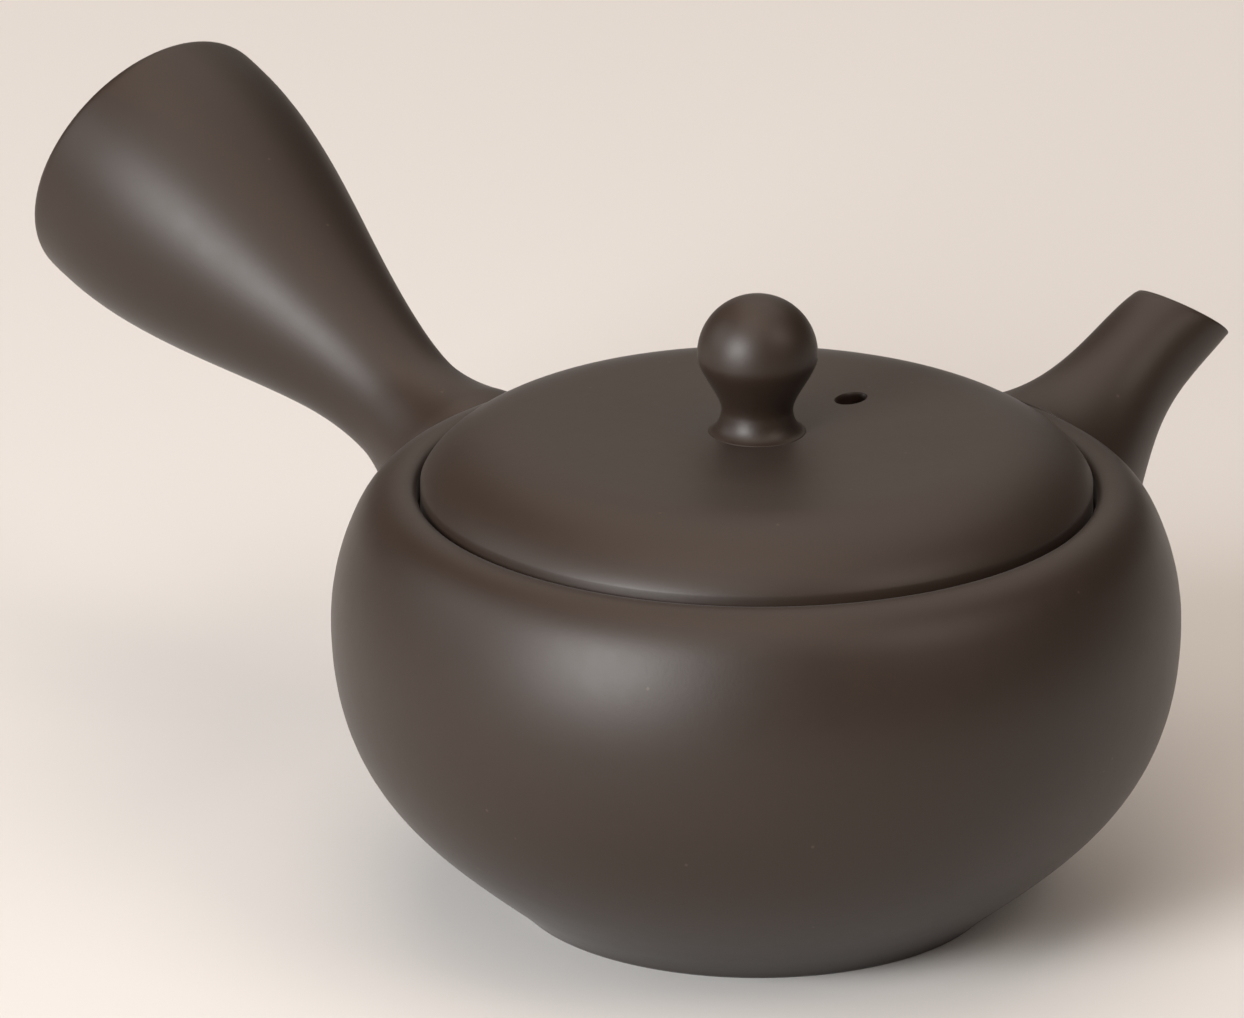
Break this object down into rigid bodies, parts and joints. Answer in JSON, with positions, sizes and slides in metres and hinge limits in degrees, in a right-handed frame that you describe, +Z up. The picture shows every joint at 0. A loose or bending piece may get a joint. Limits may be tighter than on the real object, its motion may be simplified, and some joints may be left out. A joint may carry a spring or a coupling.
{
  "type": "kyusu",
  "caption": "Side-handled Japanese teapot in dark unglazed clay, with a short spout, a hollow flared handle, a pierced clay strainer and a lift-off lid with a ball knob.",
  "frame": {"origin": "centre of the flat foot's underside, where the pot stands on the table", "axes": "+Z up along the bowl's axis, +X towards the spout, and the handle points to about +Y and a little up"},
  "size_m": [0.1369, 0.1834, 0.0851],
  "materials": {
    "clay": "dark brown-black unglazed clay, burnished to a satin sheen"
  },
  "bodies": {
    "pot": {"bowl": "clay", "spout": "clay", "handle": "clay", "strainer": "clay"},
    "lid": {"lid": "clay", "lid_knob": "clay"}
  },
  "joints": [
    {"name": "lid_lift", "type": "slide", "parent": "pot", "child": "lid", "axis": [0, 0, 1], "range_m": [0, 0.06]}
  ]
}
